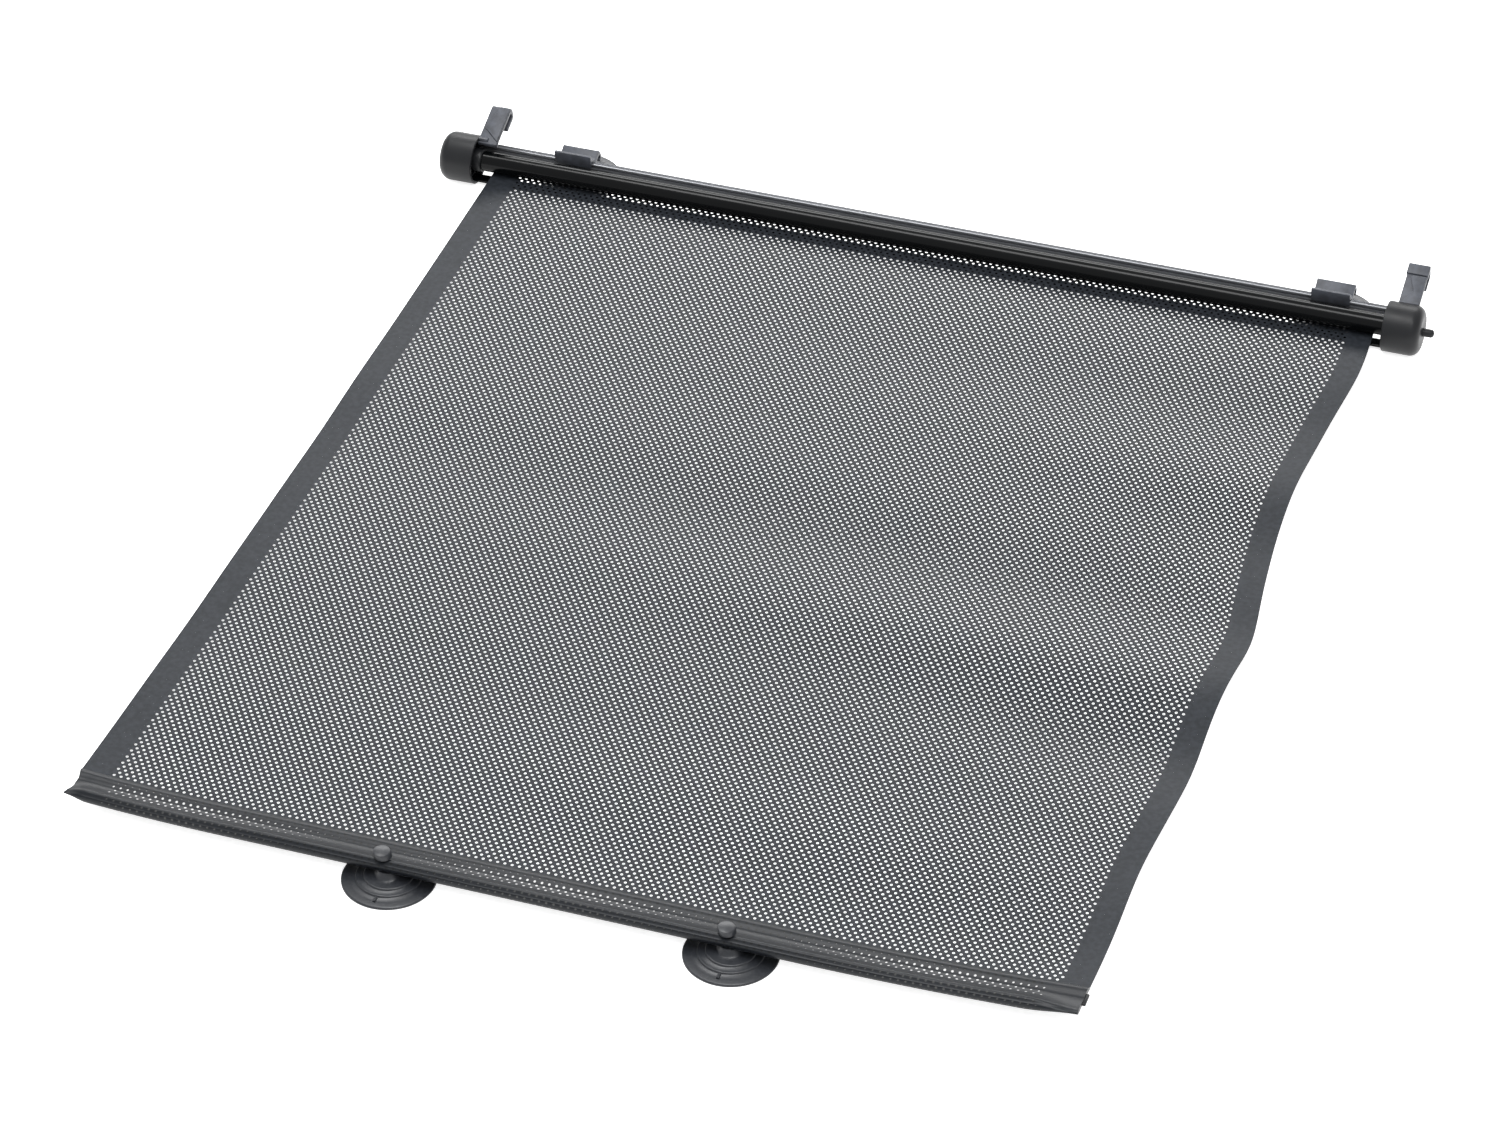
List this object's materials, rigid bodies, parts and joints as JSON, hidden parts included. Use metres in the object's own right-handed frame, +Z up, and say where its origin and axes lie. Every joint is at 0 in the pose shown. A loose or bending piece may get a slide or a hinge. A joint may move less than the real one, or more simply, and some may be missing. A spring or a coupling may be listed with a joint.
{
  "type": "roll-up car window sunshade",
  "caption": "Retractable car window sunshade: perforated black film on a spring roller, window hooks, sliding clips and suction cups, shown pulled out.",
  "frame": {"origin": "centre of the bounding box in plan, on the floor that it lies on", "axes": "X along the roller, -Y from the roller to the hem that is pulled out, +Z up"},
  "size_m": [0.5066, 0.5654, 0.0313],
  "materials": {
    "cap_plastic": "satin",
    "gloss_black": "gloss",
    "clip_plastic": "satin",
    "film_black": "satin",
    "cup_rubber": "satin",
    "slat_plastic": "satin",
    "spring_steel": "satin",
    "white_nylon": "satin"
  },
  "bodies": {
    "headrail": {"left_end_cap": "cap_plastic", "right_end_cap": "cap_plastic", "rear_rail": "gloss_black", "lower_bar": "gloss_black", "spring_shaft": "spring_steel", "torsion_spring": "spring_steel", "button_spring": "spring_steel", "shade_film": "film_black"},
    "roller": {"roller_tube": "gloss_black", "left_roller_plug": "cap_plastic", "right_roller_plug": "cap_plastic", "spring_anchor": "white_nylon"},
    "pull_bar": {"hem_sleeve": "film_black", "hem_slat": "slat_plastic", "bottom_left_cup": "cup_rubber", "bottom_right_cup": "cup_rubber"},
    "release_button": {"release_button": "cap_plastic", "lock_disc": "white_nylon"},
    "left_clip": {"left_clip": "clip_plastic", "top_left_cup": "cup_rubber"},
    "right_clip": {"right_clip": "clip_plastic", "top_right_cup": "cup_rubber"}
  },
  "joints": [
    {"name": "pull_slide", "type": "slide", "parent": "headrail", "child": "pull_bar", "axis": [0, 1, 0], "range_m": [0, 0.482], "deforming": ["shade_film"]},
    {"name": "roller_spin", "type": "hinge", "parent": "headrail", "child": "roller", "pos_m": [0, 0.2443, 0.01225], "axis": [1, 0, 0], "range_deg": [0, 4190]},
    {"name": "button_press", "type": "slide", "parent": "headrail", "child": "release_button", "axis": [-1, 0, 0], "range_m": [0, 0.003], "stiffness_N_per_m": 400, "springref_m": -0.003, "deforming": ["button_spring"]},
    {"name": "left_clip_slide", "type": "slide", "parent": "headrail", "child": "left_clip", "axis": [1, 0, 0], "range_m": [-0.026, 0.15]},
    {"name": "right_clip_slide", "type": "slide", "parent": "headrail", "child": "right_clip", "axis": [-1, 0, 0], "range_m": [-0.006, 0.165]}
  ],
  "couplings": [
    {"joint": "roller_spin", "follows": "pull_slide", "rad_per_m": 151.5}
  ]
}
